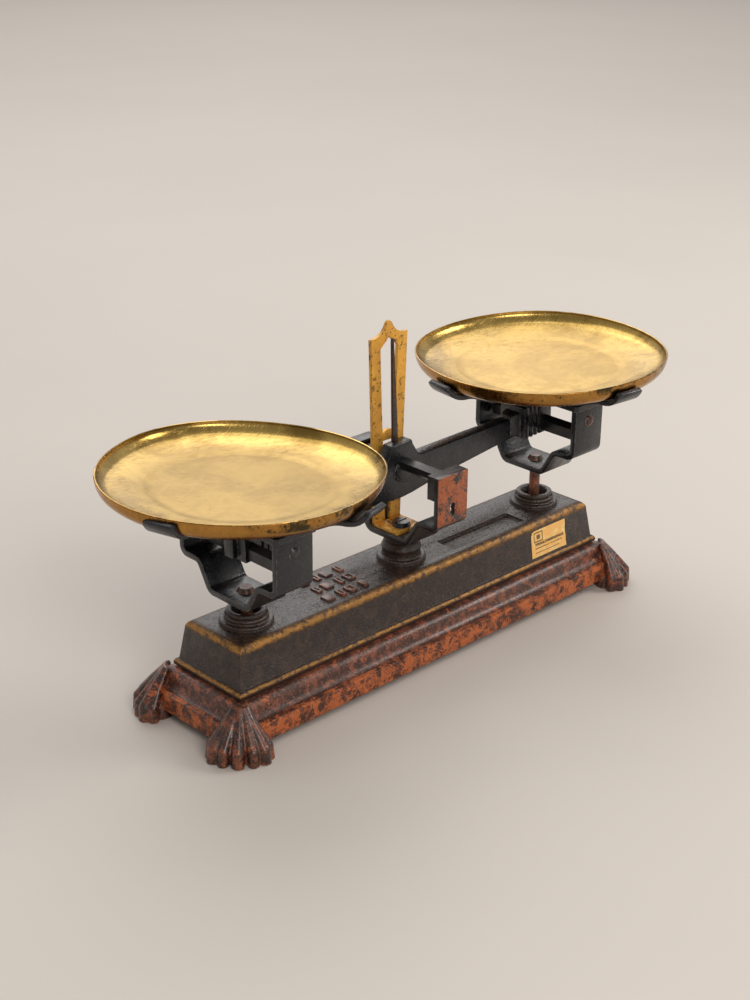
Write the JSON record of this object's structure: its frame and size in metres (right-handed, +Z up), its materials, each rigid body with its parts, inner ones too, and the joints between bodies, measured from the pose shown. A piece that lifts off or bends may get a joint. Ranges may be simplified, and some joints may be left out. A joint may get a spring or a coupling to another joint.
{
  "type": "counter balance",
  "caption": "Old two-pan counter balance: brass pans on a rocking cast beam, held level by a stay hidden in a hollow iron base with paw feet.",
  "frame": {"origin": "on the table, under the middle of the base and the centre knife edge", "axes": "+X along the beam towards the right pan, front is -Y, +Z up"},
  "size_m": [0.4601, 0.1876, 0.227],
  "materials": {
    "black_casting": "old black and brown paint over cast iron, gilt lines, rust on the plinth and paws",
    "aged_paper": "yellowed paper label with ruled lines",
    "fork_iron": "dark paint worn through to orange rust",
    "screw_iron": "dark bare iron",
    "bearing_steel": "dark hardened steel",
    "gilt_paint": "worn gilt paint with dark spots",
    "pin_steel": "bare steel",
    "beam_black": "blue-black paint with worn edges",
    "knife_steel": "blackened steel",
    "needle_brown": "dark brown paint",
    "stay_iron": "dark rough iron",
    "stirrup_black": "blue-black paint with worn edges",
    "rivet_rust": "red-brown rusted iron",
    "cross_black": "black paint with worn edges",
    "rod_rust": "brown rusted steel",
    "pan_brass": "old golden brass, scratched inside, dark spots on the rim"
  },
  "bodies": {
    "base": {"base_casting": "black_casting", "paper_label": "aged_paper", "fork": "fork_iron", "fork_screw": "screw_iron", "fork_bearing_front": "bearing_steel", "fork_bearing_rear": "bearing_steel", "pointer_frame": "gilt_paint", "stay_pin": "pin_steel"},
    "beam": {"beam": "beam_black", "centre_knife": "knife_steel", "left_knife": "knife_steel", "right_knife": "knife_steel", "pointer_needle": "needle_brown"},
    "stay": {"stay_bar": "stay_iron"},
    "left_carrier": {"left_stirrup": "stirrup_black", "left_bearing_front": "bearing_steel", "left_bearing_rear": "bearing_steel", "left_bearing_rivets": "rivet_rust", "left_bridge": "stirrup_black", "left_cross": "cross_black", "left_cross_rivet": "stirrup_black", "left_rod": "rod_rust", "left_rod_pin": "pin_steel"},
    "right_carrier": {"right_stirrup": "stirrup_black", "right_bearing_front": "bearing_steel", "right_bearing_rear": "bearing_steel", "right_bearing_rivets": "rivet_rust", "right_bridge": "stirrup_black", "right_cross": "cross_black", "right_cross_rivet": "stirrup_black", "right_rod": "rod_rust", "right_rod_pin": "pin_steel"},
    "left_pan": {"left_pan": "pan_brass"},
    "right_pan": {"right_pan": "pan_brass"}
  },
  "joints": [
    {"name": "beam_tilt", "type": "hinge", "parent": "base", "child": "beam", "pos_m": [0, 0, 0.1265], "axis": [0, 1, 0], "range_deg": [0, 5.5]},
    {"name": "stay_tilt", "type": "hinge", "parent": "base", "child": "stay", "pos_m": [0, 0, 0.044], "axis": [0, 1, 0], "range_deg": [0, 5.5]},
    {"name": "left_carrier_hang", "type": "hinge", "parent": "beam", "child": "left_carrier", "pos_m": [-0.13704, 0, 0.11992], "axis": [0, 1, 0], "range_deg": [-5.5, 0]},
    {"name": "right_carrier_hang", "type": "hinge", "parent": "beam", "child": "right_carrier", "pos_m": [0.13704, 0, 0.13308], "axis": [0, 1, 0], "range_deg": [-5.5, 0]},
    {"name": "left_pan_lift", "type": "slide", "parent": "left_carrier", "child": "left_pan", "axis": [0, 0, 1], "range_m": [0, 0.05]},
    {"name": "right_pan_lift", "type": "slide", "parent": "right_carrier", "child": "right_pan", "axis": [0, 0, 1], "range_m": [0, 0.05]}
  ],
  "couplings": [
    {"joint": "stay_tilt", "follows": "beam_tilt", "ratio": 1},
    {"joint": "left_carrier_hang", "follows": "beam_tilt", "ratio": -1},
    {"joint": "right_carrier_hang", "follows": "beam_tilt", "ratio": -1}
  ]
}
